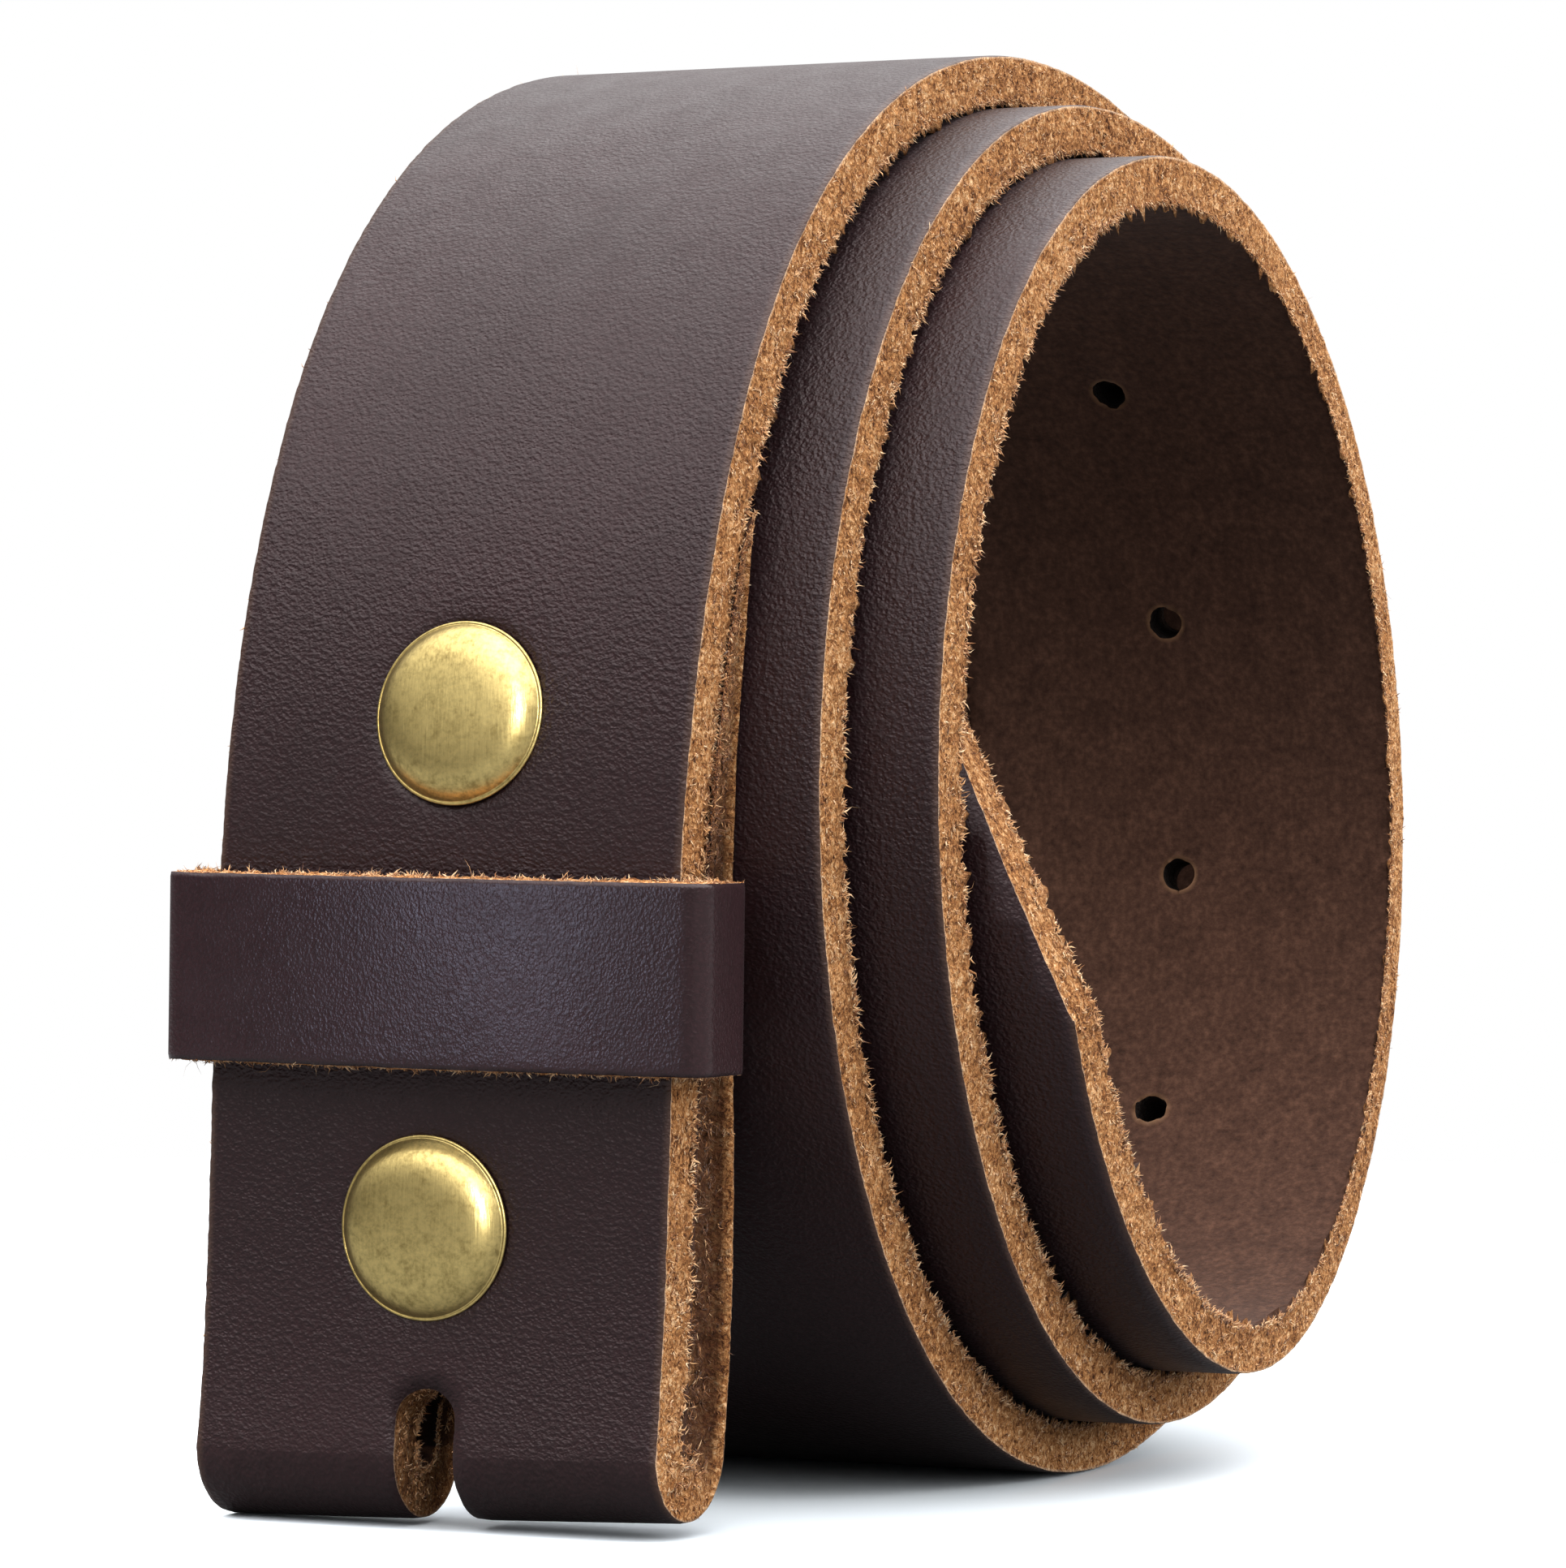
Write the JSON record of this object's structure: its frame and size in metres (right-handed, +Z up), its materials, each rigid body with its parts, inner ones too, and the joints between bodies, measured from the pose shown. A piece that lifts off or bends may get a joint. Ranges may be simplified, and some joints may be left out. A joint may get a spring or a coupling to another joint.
{
  "type": "belt strap",
  "caption": "Coiled thick leather belt strap with fold-over snap-closed buckle end, antique brass snap caps, keeper loop and pointed, punched tip.",
  "frame": {"origin": "centre of the bounding box on the surface the coil stands on", "axes": "+Z up; the coil axis is along X; -Y is the front, the grain side of the hanging buckle end; inner turns step out towards +X"},
  "size_m": [0.0634, 0.1268, 0.113],
  "materials": {
    "leather": "satin full-grain outside, suede flesh side, raw tan edges",
    "keeper_leather": "satin full-grain strip with raw edges",
    "antique_brass": "antiqued and brushed",
    "inner_brass": "satin",
    "steel": "satin wire"
  },
  "bodies": {
    "coil": {"coiled_strap": "leather", "strap_hole_section": "leather"},
    "end": {"buckle_end": "leather", "upper_snap_cap": "antique_brass", "upper_snap_socket": "inner_brass", "upper_snap_spring": "steel", "lower_snap_cap": "antique_brass", "lower_snap_socket": "inner_brass", "lower_snap_spring": "steel"},
    "flap": {"folded_flap": "leather", "upper_snap_stud": "inner_brass", "upper_snap_eyelet": "inner_brass", "lower_snap_stud": "inner_brass", "lower_snap_eyelet": "inner_brass"},
    "keeper": {"keeper_loop": "keeper_leather", "keeper_staple": "steel"},
    "tip": {"strap_tip": "leather"}
  },
  "joints": [
    {"name": "buckle_end_swing", "type": "hinge", "parent": "coil", "child": "end", "pos_m": [-0.0078, -0.03875, 0.0995], "axis": [-1, 0, 0], "range_deg": [0, 75]},
    {"name": "flap_peel", "type": "hinge", "parent": "end", "child": "flap", "pos_m": [-0.00968, -0.05125, 0.0055], "axis": [-1, 0, 0], "range_deg": [0, 22.5]},
    {"name": "keeper_slide", "type": "slide", "parent": "end", "child": "keeper", "axis": [0.0485, -0.0162, 0.9987], "range_m": [-0.004, 0.004]},
    {"name": "tip_flex", "type": "hinge", "parent": "coil", "child": "tip", "pos_m": [0.01245, -0.01603, 0.0168], "axis": [-1, 0, 0], "range_deg": [0, 40]}
  ],
  "couplings": [
    {"joint": "flap_peel", "follows": "buckle_end_swing", "ratio": 0.3}
  ]
}
